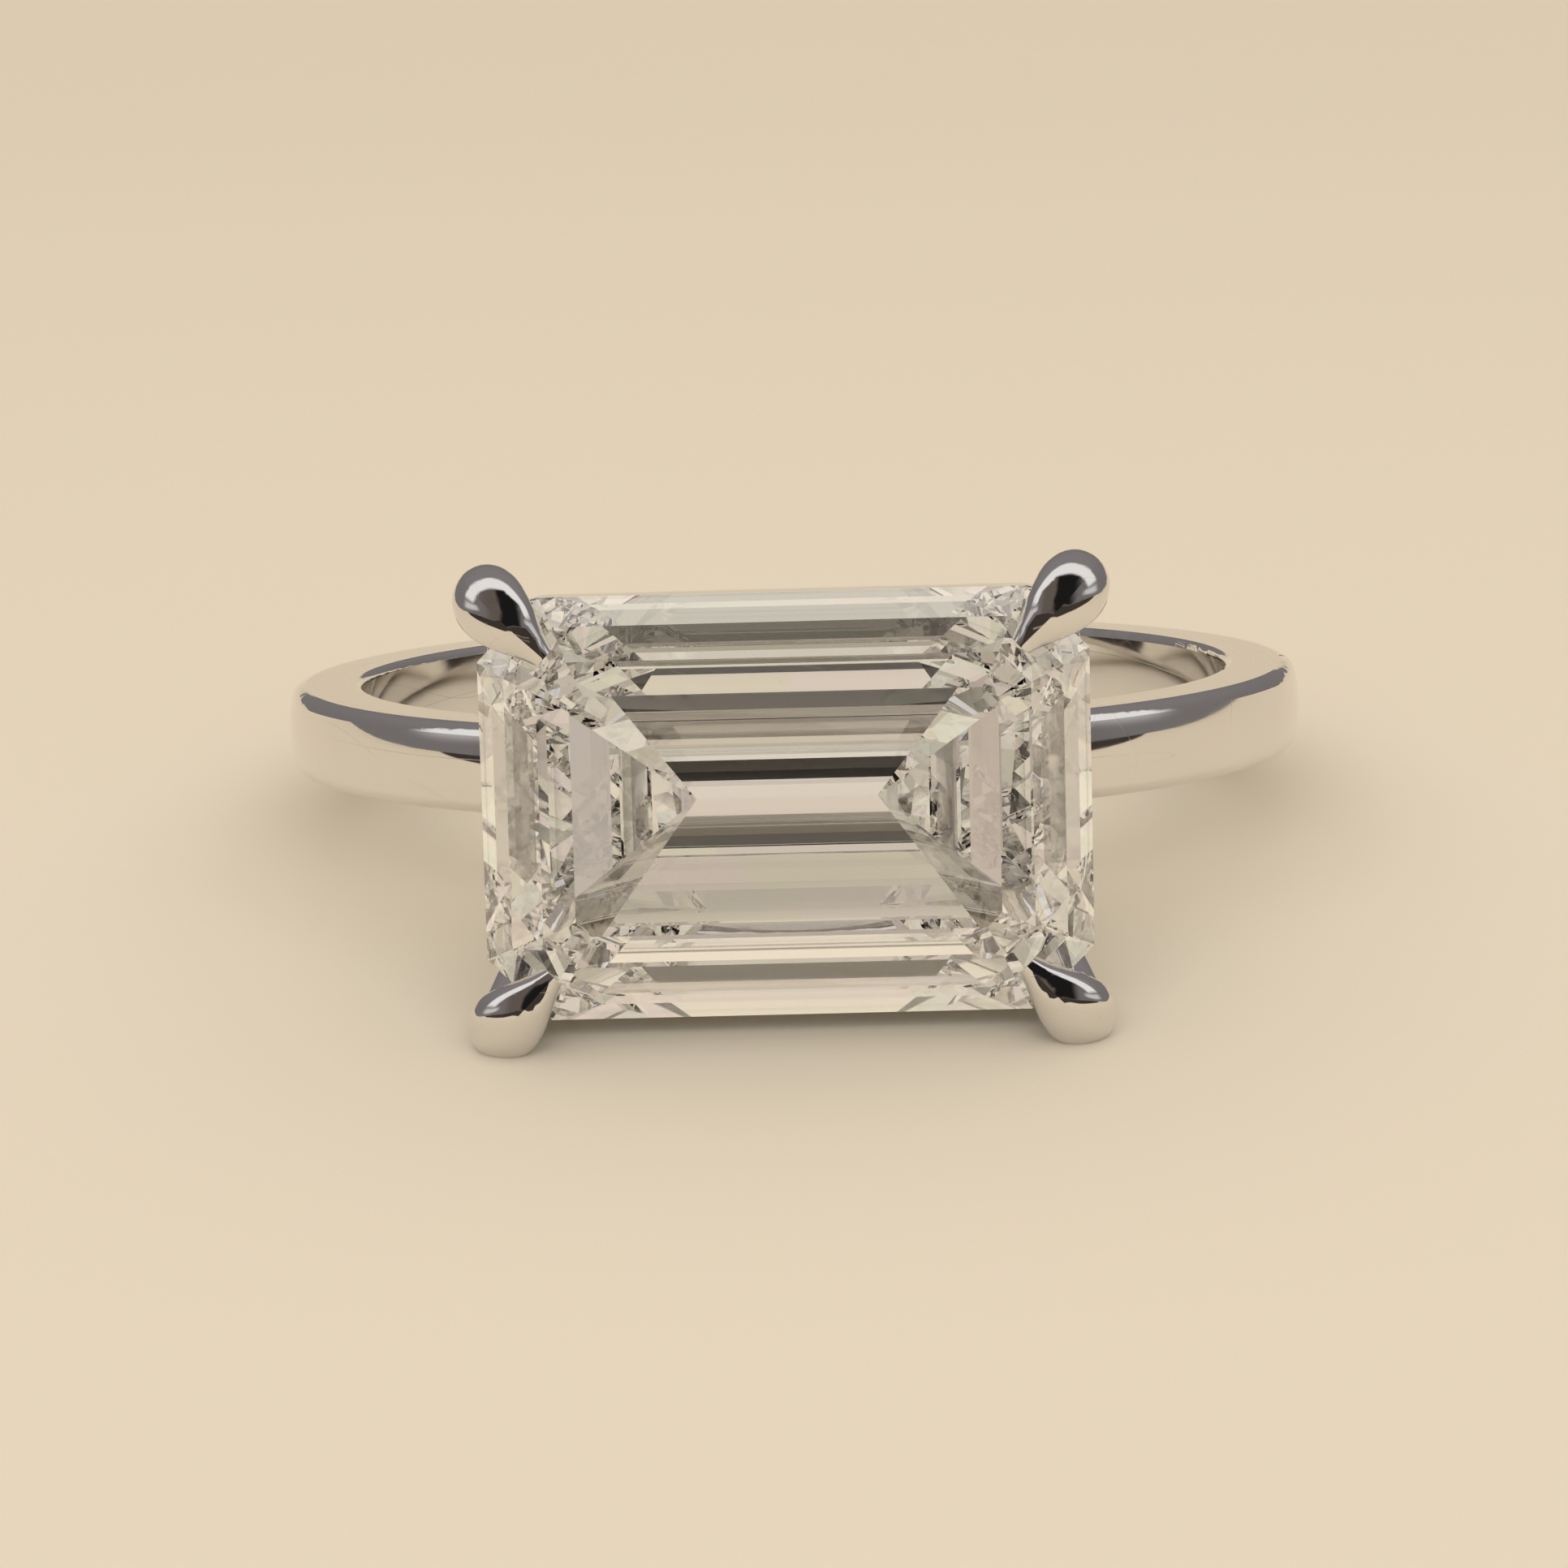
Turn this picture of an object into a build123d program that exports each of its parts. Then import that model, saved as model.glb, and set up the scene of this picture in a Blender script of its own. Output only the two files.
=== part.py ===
from build123d import *
import math
import os

# A solitaire ring in polished white metal: a plain band, a four-claw basket
# head and one step-cut rectangular stone set across the finger.
#
# Frame, in millimetres: the origin is the centre of the finger bore and +Z is
# the bore's axis. The stone's table faces -Y and its long side runs along X.

# Band
BORE_RADIUS = 8.25
BAND_THICKNESS = 1.4
BAND_WIDTH = 1.6
BAND_CROWN = 0.12  # how far the middle of the outer face stands above its edges
BAND_OUTER_EDGE = 0.26
BAND_INNER_EDGE = 0.15

# Stone: a rectangle with cut corners, three steps above its girdle and two below
STONE_LENGTH = 10.0
STONE_WIDTH = 7.0
GIRDLE_THICKNESS = 0.18
GIRDLE_CORNER = 1.04
# Each step gives its inset from the one before, its height, and the size of
# the 45 degree corner at its far edge.
CROWN_STEPS = [(0.45, 0.40, 0.82), (0.54, 0.355, 0.51), (0.545, 0.19, 0.245)]
PAVILION_STEPS = [(1.25, 1.867, 0.57)]
PAVILION_FINAL_ANGLE = 30.5  # slope of the last step, which ends in the keel
KEEL_CLEARANCE = 0.12  # between the keel and the band under it

# Gallery rail: the upper frame, which the pavilion sits in
GALLERY_DROP = 0.7  # from the girdle's lower edge to the rail's upper face
GALLERY_INSET = 0.08  # of the rail's outer face from the girdle's outline
GALLERY_WALL = 0.6
GALLERY_HEIGHT = 0.6

# Base rail: the lower frame, which ties the claws together above the band
BASE_GAP = 0.2  # from the top of the band to the rail's lower face
BASE_WALL = 0.5
BASE_HEIGHT = 0.5
BASE_OUTSET = 0.1  # of the rail's outer face from the middle of the claws
BASE_CORNER = 0.75

RAIL_EDGE = 0.12  # round on the rails' long edges
RAIL_INNER_CORNER = 0.2  # the least round inside a rail's corners

# Claws
CLAW_SHIFT_X = -0.06  # of each head from the middle of the stone's cut corner
CLAW_SHIFT_Z = 0.2
CLAW_FOOT_RADIUS = 0.36
CLAW_FOOT_X = 3.3
CLAW_FOOT_Z = 0.42
CLAW_FOOT_DEPTH = 0.45  # how far the shaft's line runs into the band
# The claw's head, from shoulder to tip. Each section gives its centre's
# distance outward from the shifted middle of that corner and its height above
# the girdle, the direction of the claw there (90 is straight up, 180 is
# inward), and its half thickness and half width.
CLAW_HEAD = [
    (0.40, -0.50, 84, 0.48, 0.48),
    (0.52, 0.10, 95, 0.53, 0.55),
    (0.44, 0.50, 122, 0.52, 0.60),
    (0.16, 0.74, 158, 0.46, 0.57),
    (-0.30, 0.84, 176, 0.36, 0.40),
    (-0.78, 0.80, 188, 0.26, 0.20),
]

SAME = 1e-4  # two lengths closer than this count as one

outer_radius = BORE_RADIUS + BAND_THICKNESS
final_inset = STONE_WIDTH / 2 - sum(step[0] for step in PAVILION_STEPS)
final_depth = final_inset * math.tan(math.radians(PAVILION_FINAL_ANGLE))
pavilion_depth = sum(step[1] for step in PAVILION_STEPS) + final_depth
# Heights below are distances from the bore's axis towards the stone, along -Y.
keel_height = outer_radius + KEEL_CLEARANCE
girdle_low = keel_height + pavilion_depth
girdle_high = girdle_low + GIRDLE_THICKNESS


def corner_ring(length, width, corner, height):
    """The eight corners of a rectangle with cut corners, anticlockwise from outside."""
    x = length / 2
    z = width / 2
    corners = []
    for sx, sz in [(1, -1), (1, 1), (-1, 1), (-1, -1)]:
        along_x = (sx * (x - corner), -height, sz * z)
        along_z = (sx * x, -height, sz * (z - corner))
        corners += [along_x, along_z] if sx * sz < 0 else [along_z, along_x]
    return corners


def band_of_facets(low, high):
    """One flat facet for each side between two rings of eight corners."""
    facets = []
    for i in range(8):
        j = (i + 1) % 8
        facets.append(Face(Wire.make_polygon([low[i], low[j], high[j], high[i]])))
    return facets


def step_rings(steps, height, direction):
    """The ring at the far edge of each step, going outward or inward from the girdle."""
    rings = []
    inset = 0
    for step_inset, rise, corner in steps:
        inset += step_inset
        height += direction * rise
        rings.append(corner_ring(STONE_LENGTH - 2 * inset, STONE_WIDTH - 2 * inset, corner, height))
    return rings


def make_stone():
    low_girdle = corner_ring(STONE_LENGTH, STONE_WIDTH, GIRDLE_CORNER, girdle_low)
    high_girdle = corner_ring(STONE_LENGTH, STONE_WIDTH, GIRDLE_CORNER, girdle_high)
    pavilion = step_rings(PAVILION_STEPS, girdle_low, -1)
    crown = step_rings(CROWN_STEPS, girdle_high, 1)
    rings = pavilion[::-1] + [low_girdle, high_girdle] + crown

    faces = [Face(Wire.make_polygon(crown[-1]))]
    for low, high in zip(rings, rings[1:]):
        faces += band_of_facets(low, high)

    keel_end = (STONE_LENGTH - STONE_WIDTH) / 2
    keel_right = (keel_end, -keel_height, 0)
    keel_left = (-keel_end, -keel_height, 0)
    last = rings[0]
    for i in range(8):
        a, b = last[i], last[(i + 1) % 8]
        along_side = abs(a[2] - b[2]) < SAME
        if along_side:
            near_b = keel_right if b[0] > 0 else keel_left
            near_a = keel_right if a[0] > 0 else keel_left
            faces.append(Face(Wire.make_polygon([a, b, near_b, near_a])))
        else:
            keel = keel_right if a[0] + b[0] > 0 else keel_left
            faces.append(Face(Wire.make_polygon([a, b, keel])))
    return Solid(Shell(faces))


def make_band():
    """The band's section, revolved about the finger's axis."""
    half = BAND_WIDTH / 2
    edge_radius = outer_radius - BAND_CROWN
    section = Polyline(
        (edge_radius, 0, half),
        (BORE_RADIUS, 0, half),
        (BORE_RADIUS, 0, -half),
        (edge_radius, 0, -half),
    )
    crown = ThreePointArc((edge_radius, 0, -half), (outer_radius, 0, 0), (edge_radius, 0, half))
    band = revolve(make_face(section + crown), Axis.Z)
    circles = band.edges().filter_by(GeomType.CIRCLE)
    outer = [e for e in circles if abs(e.radius - edge_radius) < SAME]
    band = fillet(outer, BAND_OUTER_EDGE)
    circles = band.edges().filter_by(GeomType.CIRCLE)
    inner = [e for e in circles if abs(e.radius - BORE_RADIUS) < SAME]
    return fillet(inner, BAND_INNER_EDGE)


def make_rail(length, width, corner, wall, low, high):
    """A rectangular frame round the head, with rounded corners and edges."""
    height = high - low
    plane = Plane(origin=(0, -low, 0), x_dir=(1, 0, 0), z_dir=(0, -1, 0))
    inner_corner = max(corner - wall, RAIL_INNER_CORNER)
    outer = RectangleRounded(length, width, corner)
    inner = RectangleRounded(length - 2 * wall, width - 2 * wall, inner_corner)
    rail = extrude(plane * (outer - inner), height)
    flat = rail.faces().sort_by(Axis.Y)
    return fillet(flat[0].edges() + flat[-1].edges(), RAIL_EDGE)


def claw_foot_height():
    """Where the shaft's line ends, just inside the band."""
    on_band = math.sqrt(outer_radius**2 - CLAW_FOOT_X**2)
    return on_band - CLAW_FOOT_DEPTH


def corner_point(outward, height):
    """A point on the diagonal line that the right upper claw's head bends along."""
    x = (STONE_LENGTH - GIRDLE_CORNER) / 2 + CLAW_SHIFT_X + outward / math.sqrt(2)
    z = (STONE_WIDTH - GIRDLE_CORNER) / 2 + CLAW_SHIFT_Z + outward / math.sqrt(2)
    return Vector(x, -(girdle_high + height), z)


def shaft_ends():
    shoulder = CLAW_HEAD[0]
    top = corner_point(shoulder[0], shoulder[1])
    foot = Vector(CLAW_FOOT_X, -claw_foot_height(), CLAW_FOOT_Z)
    return foot, top


def claw_section(centre, direction, side, half_thickness, half_width):
    """An ellipse across the claw, with its width along side."""
    plane = Plane(origin=centre, x_dir=side, z_dir=direction)
    return plane * Ellipse(half_width, half_thickness)


def make_claw_blank():
    """The right upper claw before its seats are cut: a straight shaft and a bent head."""
    side = Vector(1, 0, -1).normalized()
    head = []
    for outward, height, angle, half_thickness, half_width in CLAW_HEAD:
        lean = math.radians(angle)
        outward_share = math.cos(lean) / math.sqrt(2)
        direction = Vector(outward_share, -math.sin(lean), outward_share)
        centre = corner_point(outward, height)
        head.append(claw_section(centre, direction, side, half_thickness, half_width))
    foot, top = shaft_ends()
    line = (top - foot).normalized()
    shaft_side = side - line * side.dot(line)
    foot_section = claw_section(foot, line, shaft_side, CLAW_FOOT_RADIUS, CLAW_FOOT_RADIUS)
    return loft([foot_section, head[0]]) + loft(head)


def shaft_point(height):
    """The middle of the right upper claw's shaft at a height."""
    foot, top = shaft_ends()
    share = (height + foot.Y) / (foot.Y - top.Y)
    return foot + (top - foot) * share


def make_parts():
    stone = make_stone()
    band = make_band()

    gallery_high = girdle_low - GALLERY_DROP
    gallery = make_rail(
        STONE_LENGTH - 2 * GALLERY_INSET,
        STONE_WIDTH - 2 * GALLERY_INSET,
        GIRDLE_CORNER,
        GALLERY_WALL,
        gallery_high - GALLERY_HEIGHT,
        gallery_high,
    )
    gallery -= stone

    base_low = outer_radius + BASE_GAP
    at_base = shaft_point(base_low + BASE_HEIGHT / 2)
    base = make_rail(
        2 * (at_base.X + BASE_OUTSET),
        2 * (at_base.Z + BASE_OUTSET),
        BASE_CORNER,
        BASE_WALL,
        base_low,
        base_low + BASE_HEIGHT,
    )

    blank = make_claw_blank()
    claw = blank - stone - band - gallery - base
    parts = {
        "band": band,
        "centre_stone": stone,
        "gallery_rail": gallery,
        "base_rail": base,
        "claw_upper_right": claw,
        "claw_upper_left": mirror(claw, Plane.YZ),
        "claw_lower_right": mirror(claw, Plane.XY),
        "claw_lower_left": mirror(mirror(claw, Plane.YZ), Plane.XY),
    }
    return parts


os.makedirs("parts", exist_ok=True)
for name, shape in make_parts().items():
    export_step(shape, f"parts/{name}.step")
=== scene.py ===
import math

import bpy
import bmesh
from mathutils import Matrix, Vector

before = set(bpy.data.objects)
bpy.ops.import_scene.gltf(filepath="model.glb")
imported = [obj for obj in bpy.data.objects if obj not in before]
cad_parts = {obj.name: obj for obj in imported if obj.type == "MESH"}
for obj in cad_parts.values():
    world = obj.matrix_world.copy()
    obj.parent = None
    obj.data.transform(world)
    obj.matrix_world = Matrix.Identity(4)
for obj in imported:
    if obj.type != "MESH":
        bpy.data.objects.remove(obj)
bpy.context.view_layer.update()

# A solitaire ring lying on pale cloth. Lengths are in metres. A texture's
# scale is its number of features in a metre, and colours are linear.
MM = 0.001


# ------------------------------------------------------------ node helpers

class Graph:
    """Short names for the shader nodes used below."""

    def __init__(self, tree):
        self.tree = tree

    def add(self, kind, **settings):
        node = self.tree.nodes.new(kind)
        for key, value in settings.items():
            setattr(node, key, value)
        return node

    def put(self, socket, value):
        """Feeds a socket from another node, or sets its own value."""
        if isinstance(value, bpy.types.NodeSocket):
            self.tree.links.new(value, socket)
        else:
            socket.default_value = value

    def math(self, operation, a, b=None, c=None, clamp=False):
        node = self.add("ShaderNodeMath", operation=operation, use_clamp=clamp)
        for socket, value in zip(node.inputs, (a, b, c)):
            if value is not None:
                self.put(socket, value)
        return node.outputs[0]

    def split(self, vector):
        node = self.add("ShaderNodeSeparateXYZ")
        self.put(node.inputs[0], vector)
        return node.outputs

    def step(self, value, start, end):
        """0 at start and 1 at end, with a soft edge between. The start may be the higher."""
        node = self.add("ShaderNodeMapRange", interpolation_type="SMOOTHERSTEP")
        self.put(node.inputs["Value"], value)
        self.put(node.inputs["From Min"], start)
        self.put(node.inputs["From Max"], end)
        return node.outputs[0]

    def mix(self, share, a, b):
        """Colour a where share is 0 and colour b where it is 1."""
        node = self.add("ShaderNodeMix", data_type="RGBA")
        first_color, second_color, color_result = 6, 7, 2
        self.put(node.inputs[0], share)
        self.put(node.inputs[first_color], a)
        self.put(node.inputs[second_color], b)
        return node.outputs[color_result]

    def multiply(self, a, b, gain):
        """Two colours multiplied, then made brighter by gain."""
        product = self.add("ShaderNodeVectorMath", operation="MULTIPLY")
        self.put(product.inputs[0], a)
        self.put(product.inputs[1], b)
        scaled = self.add("ShaderNodeVectorMath", operation="SCALE")
        self.put(scaled.inputs[0], product.outputs[0])
        self.put(scaled.inputs["Scale"], gain)
        return scaled.outputs[0]

    def noise(self, where, scale, detail):
        node = self.add("ShaderNodeTexNoise")
        self.put(node.inputs["Vector"], where)
        self.put(node.inputs["Scale"], scale)
        self.put(node.inputs["Detail"], detail)
        return node.outputs[0]

    def cells(self, where, scale):
        """Random cells. The node's Color is one random value for each cell."""
        node = self.add("ShaderNodeTexVoronoi")
        self.put(node.inputs["Vector"], where)
        self.put(node.inputs["Scale"], scale)
        return node

    def bump(self, height, distance, strength):
        node = self.add("ShaderNodeBump")
        self.put(node.inputs["Height"], height)
        self.put(node.inputs["Distance"], distance)
        self.put(node.inputs["Strength"], strength)
        return node


def new_material(name):
    material = bpy.data.materials.new(name)
    material.use_nodes = True
    tree = material.node_tree
    return material, Graph(tree), tree.nodes["Principled BSDF"]


# ------------------------------------------------------------------- metal

# Polishing marks run one way over the metal: along the band on the band, and
# along one turned axis elsewhere. They are fine across that way and long in it.
POLISH_SCALE = 9000.0
POLISH_DETAIL = 3.0
POLISH_TURN = (0.5, 0.2, 0.8)
POLISH_STRETCH = (0.06, 1.0, 1.0)
BAND_METRES_PER_RADIAN = 0.0006  # short of the true arc, which draws the marks out

# Hairline scratches: one set along the polishing marks and a longer one across.
ALONG_SCALE = 1500.0
ALONG_WIDTH = 0.006
ACROSS_TURN = (0.2, 1.1, 2.0)
ACROSS_STRETCH = (1.0, 0.04, 1.0)
ACROSS_SCALE = 500.0
ACROSS_WIDTH = 0.002

# Patches that have lost a little of their polish
CLOUD_SCALE = 700.0
CLOUD_DETAIL = 4.0
CLOUD_EDGE = (0.42, 0.72)

METAL_ROUGHNESS = 0.022
CLOUD_ROUGHNESS = 0.035
POLISH_ROUGHNESS = 0.03
WEAR_ROUGHNESS = 0.09

METAL_DEEP = (0.775, 0.760, 0.742, 1)
METAL_PALE = (0.815, 0.800, 0.785, 1)
METAL_WORN = (0.60, 0.58, 0.56, 1)
WEAR_TINT = 0.2

# The slow ripple that hand polishing leaves, and the marks' own depth
RIPPLE_SCALE = 420.0
RIPPLE_DETAIL = 1.0
RIPPLE_DEPTH = 0.008 * MM
RIPPLE_STRENGTH = 0.7
MARK_DEPTH = 0.0005 * MM
MARK_STRENGTH = 0.6
POLISH_HEIGHT = 0.35  # against 1 for a hairline's depth


def hairlines(graph, where, scale, width):
    """Sparse fine lines where a slow noise crosses its middle value."""
    middle = 0.5
    noise = graph.noise(where, scale, 0.0)
    away = graph.math("ABSOLUTE", graph.math("SUBTRACT", noise, middle))
    return graph.step(away, width, 0.0)


def stretched(graph, where, turn, scale):
    """Coordinates turned and then drawn out, so that a texture on them runs one way."""
    node = graph.add("ShaderNodeMapping")
    graph.put(node.inputs["Vector"], where)
    graph.put(node.inputs["Rotation"], turn)
    graph.put(node.inputs["Scale"], scale)
    return node.outputs[0]


def wound_round_the_bore(graph, where):
    """Coordinates whose first axis goes round the finger's bore."""
    x, y, z = graph.split(where)
    arc = graph.math("MULTIPLY", graph.math("ARCTAN2", y, x), BAND_METRES_PER_RADIAN)
    square = graph.math("ADD", graph.math("MULTIPLY", x, x), graph.math("MULTIPLY", y, y))
    radius = graph.math("SQRT", square)
    join = graph.add("ShaderNodeCombineXYZ")
    for socket, value in zip(join.inputs, (arc, radius, z)):
        graph.put(socket, value)
    return join.outputs[0]


def white_gold(name, round_the_band=False):
    """Mirror-polished metal with polishing marks, hairline wear and a slow ripple."""
    material, graph, shader = new_material(name)
    place = graph.add("ShaderNodeTexCoord").outputs["Object"]
    if round_the_band:
        lines = wound_round_the_bore(graph, place)
    else:
        lines = stretched(graph, place, POLISH_TURN, POLISH_STRETCH)
    crossing = stretched(graph, place, ACROSS_TURN, ACROSS_STRETCH)

    polish = graph.noise(lines, POLISH_SCALE, POLISH_DETAIL)
    cloud = graph.noise(place, CLOUD_SCALE, CLOUD_DETAIL)
    along = hairlines(graph, lines, ALONG_SCALE, ALONG_WIDTH)
    across = hairlines(graph, crossing, ACROSS_SCALE, ACROSS_WIDTH)
    wear = graph.math("ADD", along, across, clamp=True)

    dull = graph.step(cloud, *CLOUD_EDGE)
    rough = graph.math("MULTIPLY_ADD", dull, CLOUD_ROUGHNESS, METAL_ROUGHNESS)
    rough = graph.math("MULTIPLY_ADD", polish, POLISH_ROUGHNESS, rough)
    rough = graph.math("MULTIPLY_ADD", wear, WEAR_ROUGHNESS, rough)
    graph.put(shader.inputs["Roughness"], rough)

    tone = graph.mix(cloud, METAL_DEEP, METAL_PALE)
    tone = graph.mix(graph.math("MULTIPLY", wear, WEAR_TINT), tone, METAL_WORN)
    graph.put(shader.inputs["Base Color"], tone)
    shader.inputs["Metallic"].default_value = 1.0

    ripple = graph.noise(place, RIPPLE_SCALE, RIPPLE_DETAIL)
    slow = graph.bump(ripple, RIPPLE_DEPTH, RIPPLE_STRENGTH)
    marks = graph.math("MULTIPLY", polish, POLISH_HEIGHT)
    marks = graph.math("MULTIPLY_ADD", wear, -1.0, marks)
    fine = graph.bump(marks, MARK_DEPTH, MARK_STRENGTH)
    graph.put(fine.inputs["Normal"], slow.outputs[0])
    graph.put(shader.inputs["Normal"], fine.outputs[0])
    return material


# ------------------------------------------------------------------- stone

DIAMOND_IOR = 2.417

# Specks of dust, one at most in each random cell. Cells whose random value is
# under the edge's start have none, and the rest grow towards its end.
DUST_SCALE = 1900.0
DUST_EDGE = (0.55, 1.0)
DUST_SIZE = 0.055  # of the largest, as a share of its cell
DUST_TONE = (0.72, 0.70, 0.66, 1)

# The body's tint wanders between two almost clear tones.
HAZE_SCALE = 450.0
HAZE_DETAIL = 2.0
HAZE_EDGE = (0.35, 0.7)
CLEAR_WARM = (0.992, 0.990, 0.978, 1)
CLEAR_COOL = (0.980, 0.982, 0.976, 1)


def diamond():
    """Clear stone: sharp facets with a few specks of dust and a trace of uneven tint."""
    material, graph, shader = new_material("clear_stone")
    place = graph.add("ShaderNodeTexCoord").outputs["Object"]
    specks = graph.cells(place, DUST_SCALE)
    chance = graph.split(specks.outputs["Color"])[0]
    size = graph.math("MULTIPLY", graph.step(chance, *DUST_EDGE), DUST_SIZE)
    dust = graph.math("LESS_THAN", specks.outputs["Distance"], size)
    haze = graph.step(graph.noise(place, HAZE_SCALE, HAZE_DETAIL), *HAZE_EDGE)
    clear = graph.mix(haze, CLEAR_WARM, CLEAR_COOL)
    graph.put(shader.inputs["Base Color"], graph.mix(dust, clear, DUST_TONE))
    shader.inputs["Roughness"].default_value = 0.0
    shader.inputs["IOR"].default_value = DIAMOND_IOR
    shader.inputs["Transmission Weight"].default_value = 1.0
    return material


def use_material(node, material):
    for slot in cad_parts[node].material_slots:
        slot.material = material


cast_metal = white_gold("white_gold")
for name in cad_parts:
    use_material(name, cast_metal)
use_material("band", white_gold("white_gold_band", round_the_band=True))
use_material("centre_stone", diamond())


# ------------------------------------------------------------------- floor

# The ring lies on its lower claws, pressed 0.2 mm into the soft floor, and on
# the far edge of the band, so the floor leans a little in the part's frame.
FLOOR_FRONT = Vector((0, -13.6, -3.93)) * MM
FLOOR_BACK = Vector((0, 9.65, -0.83)) * MM
FLOOR_RADIUS = 0.42
FLOOR_FLAT = 0.12  # the radius where the rim starts to rise
FRONT_RIM = 0.012
BACK_RIM = 0.078
BACK_NARROWING = 4  # a higher power keeps the high rim closer to the back
FLOOR_SIDES = 96
FLOOR_RINGS = 40
CREAM = (0.80, 0.76, 0.68, 1)
FLOOR_ROUGHNESS = 0.95
FLOOR_SPECULAR = 0.1

# Painted dark reflection: for mirror rays only, the floor is painted dark in front of the
# ring, past the line between these two places along Y; to the eye it stays cream.
PAINTED_REFLECTION_EDGE = (-0.042, -0.050)
PAINTED_DARK_REFLECTION = (0.04, 0.033, 0.030, 1)


def floor_height(x, y):
    """A dish that is flat under the ring, with a rim that rises most behind it."""
    radius = math.hypot(x, y)
    back = max(0, y / radius) if radius else 0
    rim = FRONT_RIM + (BACK_RIM - FRONT_RIM) * back**BACK_NARROWING
    share = max(0, (radius - FLOOR_FLAT) / (FLOOR_RADIUS - FLOOR_FLAT))
    slope = (FLOOR_BACK.z - FLOOR_FRONT.z) / (FLOOR_BACK.y - FLOOR_FRONT.y)
    lean = max(0, 1 - (radius / FLOOR_RADIUS) ** 2)
    return rim * share**2 + FLOOR_FRONT.z + slope * (y - FLOOR_FRONT.y) * lean


def floor_mesh():
    """Rings of four-sided faces round a middle point."""
    mesh = bpy.data.meshes.new("floor")
    work = bmesh.new()
    middle = work.verts.new((0, 0, floor_height(0, 0)))
    last = None
    for i in range(1, FLOOR_RINGS + 1):
        radius = FLOOR_RADIUS * i / FLOOR_RINGS
        ring = []
        for k in range(FLOOR_SIDES):
            turn = 2 * math.pi * k / FLOOR_SIDES
            x = radius * math.cos(turn)
            y = radius * math.sin(turn)
            ring.append(work.verts.new((x, y, floor_height(x, y))))
        for k in range(FLOOR_SIDES):
            after = (k + 1) % FLOOR_SIDES
            if last is None:
                work.faces.new((middle, ring[k], ring[after]))
            else:
                work.faces.new((last[k], ring[k], ring[after], last[after]))
        last = ring
    work.to_mesh(mesh)
    work.free()
    for face in mesh.polygons:
        face.use_smooth = True
    return mesh


def floor_cream():
    material, graph, shader = new_material("floor_cream")
    place = graph.add("ShaderNodeNewGeometry").outputs["Position"]
    # Painted dark reflection: past the edge, glossy rays find the floor dark instead of cream.
    painted_reflection_area = graph.step(graph.split(place)[1], *PAINTED_REFLECTION_EDGE)
    mirrored = graph.add("ShaderNodeLightPath").outputs["Is Glossy Ray"]
    dark = graph.math("MULTIPLY", painted_reflection_area, mirrored)
    graph.put(shader.inputs["Base Color"], graph.mix(dark, CREAM, PAINTED_DARK_REFLECTION))
    shader.inputs["Roughness"].default_value = FLOOR_ROUGHNESS
    shader.inputs["Specular IOR Level"].default_value = FLOOR_SPECULAR
    return material


def make_floor():
    mesh = floor_mesh()
    mesh.materials.append(floor_cream())
    floor = bpy.data.objects.new("floor", mesh)
    bpy.context.scene.collection.objects.link(floor)
    floor.visible_transmission = False


# ---------------------------------------------------------------- surround

# Four surrounds, one for each kind of ray, so that the backdrop, the floor's
# light, the metal's reflections and the stone's stripes are set separately.
BACKDROP = (0.73, 0.64, 0.50, 1)
AMBIENT = (0.42, 0.315, 0.18, 1)  # what lights the floor from all round

# The stone's room is stripes that run along X. They go round from behind the
# ring, under it, up in front and over the top: degrees above the horizon in
# front, and brightness.
STONE_ROOM = [
    (-180, 0.50), (-148, 0.75), (-120, 0.75), (-113, 0.01), (-96.5, 0.01), (-95, 0.85),
    (-82, 0.42), (-80.5, 0.03), (-72, 0.03), (-70.5, 0.80), (-40, 0.80), (-37, 0.62),
    (-33, 0.62), (-31, 0.88), (-25, 0.88), (-23, 0.52), (6, 0.50), (9, 0.84), (16, 0.74),
    (23, 0.76), (25, 0.90), (39, 0.86), (40.5, 0.14), (47.5, 0.14), (49, 0.70), (78, 0.92),
    (81, 0.60), (102, 0.78), (103.5, 0.02), (108, 0.02), (109.2, 0.95), (111, 0.50),
]
STONE_TINT = (1.0, 0.875, 0.70)
STONE_SIDES = (0.72, 0.90)  # how far to each side the stripes give way
STONE_SIDE_TONE = (0.62, 0.54, 0.43, 1)
STONE_GAIN = 1.06
# Faint patches of colour, for the stone's fire
FIRE_SCALE = 4.5
FIRE_SHARE = 0.09

# The mirrors' room, on a sphere of directions whose X is to the right, -Y to
# the front and Z up. A pair says where a soft edge starts and where it ends.
WALL_RISE = (0.1, 1.0)
WALL_LOW = (0.20, 0.182, 0.178, 1)
WALL_HIGH = (0.245, 0.228, 0.230, 1)
# The dark front, with a black core in it and paler sides
FRONT_EDGE = (-0.20, -0.34)
FRONT_TONE = (0.135, 0.108, 0.095, 1)
FRONT_SIDES = (0.50, 0.80)
FRONT_SIDE_TONE = (0.185, 0.168, 0.165, 1)
CORE_SIDE = (-0.22, -0.04)
CORE_BOTTOM = (0.02, 0.08)
CORE_TONE = (0.012, 0.011, 0.011, 1)
# The long soft box overhead, whose two ends hang down in front as a hoop
BOX_TONE = (0.92, 0.90, 0.885, 1)
BOX_FRONT = (-0.36, -0.22)
BOX_BACK = (0.20, 0.06)
BOX_LOWEST = (0.25, 0.45)
HOOP_DROOP = 0.57
HOOP_INSIDE = (0.62, 0.72)
HOOP_OUTSIDE = (0.87, 0.76)
HOOP_BACK = (0.22, -0.10)
HOOP_SIDES = (0.78, 0.92)
HOOP_SHARE = 0.62  # of the box's own light


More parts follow.
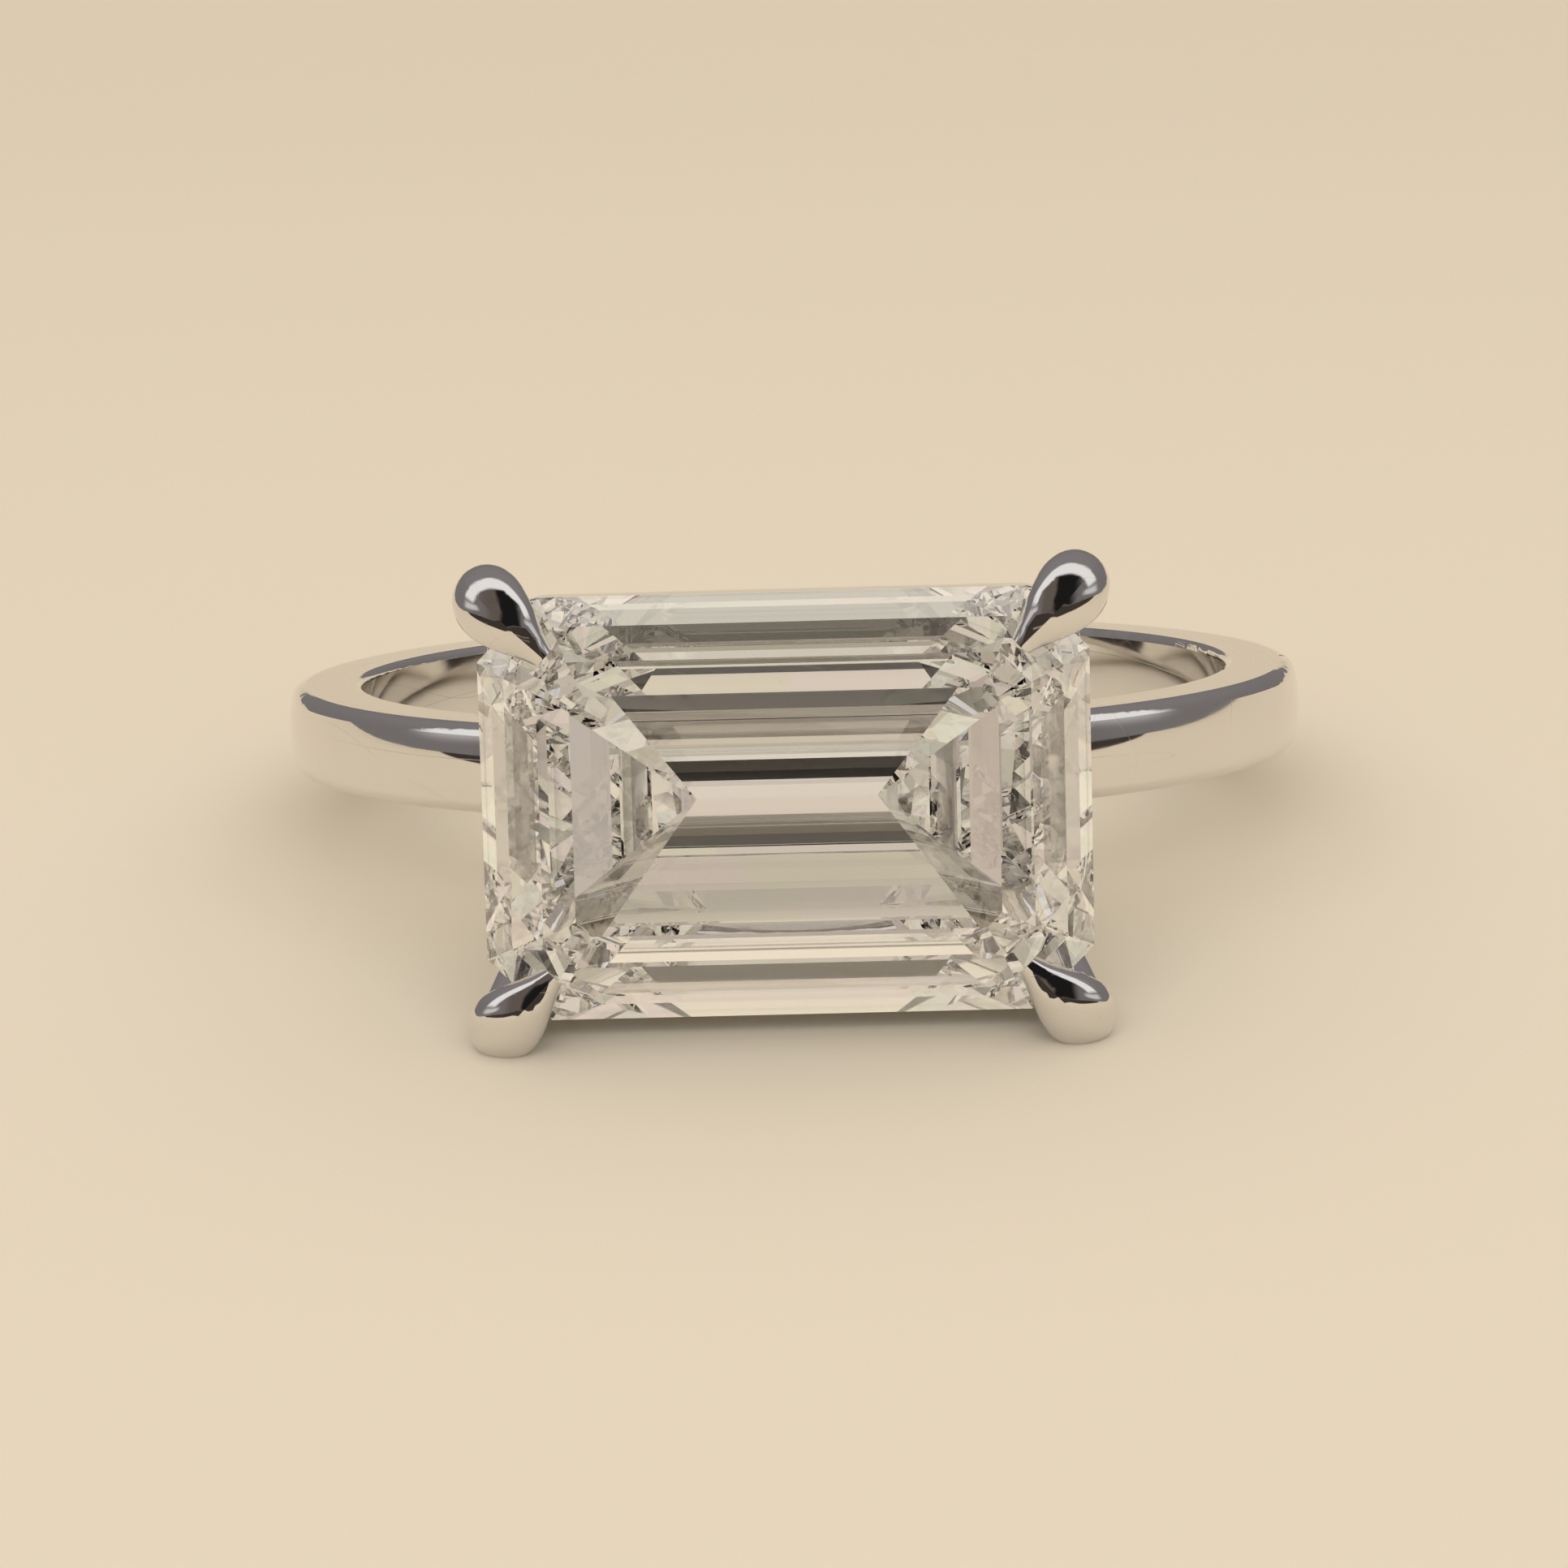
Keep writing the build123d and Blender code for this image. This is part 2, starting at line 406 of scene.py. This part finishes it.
def room_ramp(graph, turn, room):
    """Brightness round the room from a list of degrees and brightness."""
    ramp = graph.add("ShaderNodeValToRGB")
    graph.put(ramp.inputs[0], turn)
    stops = ramp.color_ramp.elements
    while len(stops) < len(room):
        stops.new(0.5)
    for stop, (degrees, light) in zip(stops, room):
        stop.position = 0.5 + degrees / 360
        stop.color = (*[light * share for share in STONE_TINT], 1)
    return ramp.outputs[0]


def stone_room(graph, way):
    """What the stone sends on to the eye."""
    x, y, z = graph.split(way)
    wide = graph.math("ABSOLUTE", x)
    turn = graph.math("ARCTAN2", z, graph.math("MULTIPLY", y, -1.0))
    turn = graph.math("MULTIPLY_ADD", turn, 0.5 / math.pi, 0.5)
    stripes = room_ramp(graph, turn, STONE_ROOM)
    stone = graph.mix(graph.step(wide, *STONE_SIDES), stripes, STONE_SIDE_TONE)
    patches = graph.cells(way, FIRE_SCALE).outputs["Color"]
    fire = graph.mix(FIRE_SHARE, (1, 1, 1, 1), patches)
    return graph.multiply(stone, fire, STONE_GAIN)


def mirror_room(graph, way):
    """What the metal sees: grey walls, a soft box overhead and a dark front."""
    x, y, z = graph.split(way)
    wide = graph.math("ABSOLUTE", x)

    box = graph.math("MULTIPLY", graph.step(y, *BOX_FRONT), graph.step(y, *BOX_BACK))
    box = graph.math("MULTIPLY", box, graph.step(z, *BOX_LOWEST))
    height = graph.math("MULTIPLY_ADD", wide, HOOP_DROOP, z)
    hoop = graph.math("MULTIPLY", graph.step(height, *HOOP_INSIDE), graph.step(height, *HOOP_OUTSIDE))
    ends = graph.math("MULTIPLY", graph.step(y, *HOOP_BACK), graph.step(wide, *HOOP_SIDES))
    hoop = graph.math("MULTIPLY", hoop, ends)
    glow = graph.math("MAXIMUM", box, graph.math("MULTIPLY", hoop, HOOP_SHARE))

    core = graph.math("MULTIPLY", graph.step(x, *CORE_SIDE), graph.step(z, *CORE_BOTTOM))
    front = graph.mix(core, FRONT_TONE, CORE_TONE)
    front = graph.mix(graph.step(wide, *FRONT_SIDES), front, FRONT_SIDE_TONE)
    walls = graph.mix(graph.step(z, *WALL_RISE), WALL_LOW, WALL_HIGH)
    room = graph.mix(graph.step(y, *FRONT_EDGE), walls, front)
    return graph.mix(glow, room, BOX_TONE)


def make_world():
    """A pale surround to the eye, a dim room for the mirrors and a striped one for the stone."""
    world = bpy.data.worlds.new("studio")
    bpy.context.scene.world = world
    world.use_nodes = True
    graph = Graph(world.node_tree)
    way = graph.add("ShaderNodeTexCoord").outputs["Generated"]
    ray = graph.add("ShaderNodeLightPath").outputs
    light = graph.mix(ray["Is Glossy Ray"], AMBIENT, mirror_room(graph, way))
    light = graph.mix(ray["Is Transmission Ray"], light, stone_room(graph, way))
    light = graph.mix(ray["Is Camera Ray"], light, BACKDROP)
    graph.put(world.node_tree.nodes["Background"].inputs["Color"], light)


# ------------------------------------------------------- lights and camera

BORE_CENTRE = Vector((0, 0, 0))

# Name, place, size, power in watts and colour. Each light points at the bore.
LIGHTS = [
    ("sky", (0.0, 0.0, 0.60), (2.0, 2.0), 5.9, (0.98, 0.98, 0.98)),
    ("front", (0.0, -0.60, 0.25), (0.8, 0.4), 2.25, (1.0, 0.97, 0.93)),
]

CAMERA_PLACE = Vector((1.08, -87.0, 10.46)) * MM
CAMERA_LENS = 104.5
CAMERA_SENSOR = 36
CAMERA_NEAR = 0.005
CAMERA_FAR = 5
# In radians: to the right of +Y, below the horizon, and anticlockwise
CAMERA_YAW = -0.0151
CAMERA_PITCH = 0.1362
CAMERA_ROLL = -0.027

LIGHT_BOUNCES = 32  # enough for the longest ways through the stone


def make_light(name, place, size, power, color):
    """A soft light that falls on the floor but doesn't show in the metal or the stone."""
    data = bpy.data.lights.new(name, "AREA")
    data.shape = "RECTANGLE"
    data.size, data.size_y = size
    data.energy = power
    data.color = color
    light = bpy.data.objects.new(name, data)
    bpy.context.scene.collection.objects.link(light)
    light.location = place
    light.rotation_mode = "QUATERNION"
    light.rotation_quaternion = (BORE_CENTRE - Vector(place)).to_track_quat("-Z", "Y")
    light.visible_glossy = False
    light.visible_transmission = False


def make_camera():
    data = bpy.data.cameras.new("camera")
    data.lens = CAMERA_LENS
    data.sensor_width = CAMERA_SENSOR
    data.clip_start = CAMERA_NEAR
    data.clip_end = CAMERA_FAR
    camera = bpy.data.objects.new("camera", data)
    bpy.context.scene.collection.objects.link(camera)

    level = Vector((math.sin(CAMERA_YAW), math.cos(CAMERA_YAW), 0))
    forward = math.cos(CAMERA_PITCH) * level - math.sin(CAMERA_PITCH) * Vector((0, 0, 1))
    side = Vector((math.cos(CAMERA_YAW), -math.sin(CAMERA_YAW), 0))
    top = side.cross(forward)
    right = math.cos(CAMERA_ROLL) * side + math.sin(CAMERA_ROLL) * top
    up = math.cos(CAMERA_ROLL) * top - math.sin(CAMERA_ROLL) * side
    turn = Matrix((right, up, -forward)).transposed()
    camera.matrix_world = Matrix.Translation(CAMERA_PLACE) @ turn.to_4x4()
    bpy.context.scene.camera = camera


make_floor()
make_world()
for light in LIGHTS:
    make_light(*light)
make_camera()
bpy.context.scene.view_settings.view_transform = "Standard"
bpy.context.scene.cycles.max_bounces = LIGHT_BOUNCES
bpy.context.scene.cycles.glossy_bounces = LIGHT_BOUNCES
bpy.context.scene.cycles.transmission_bounces = LIGHT_BOUNCES
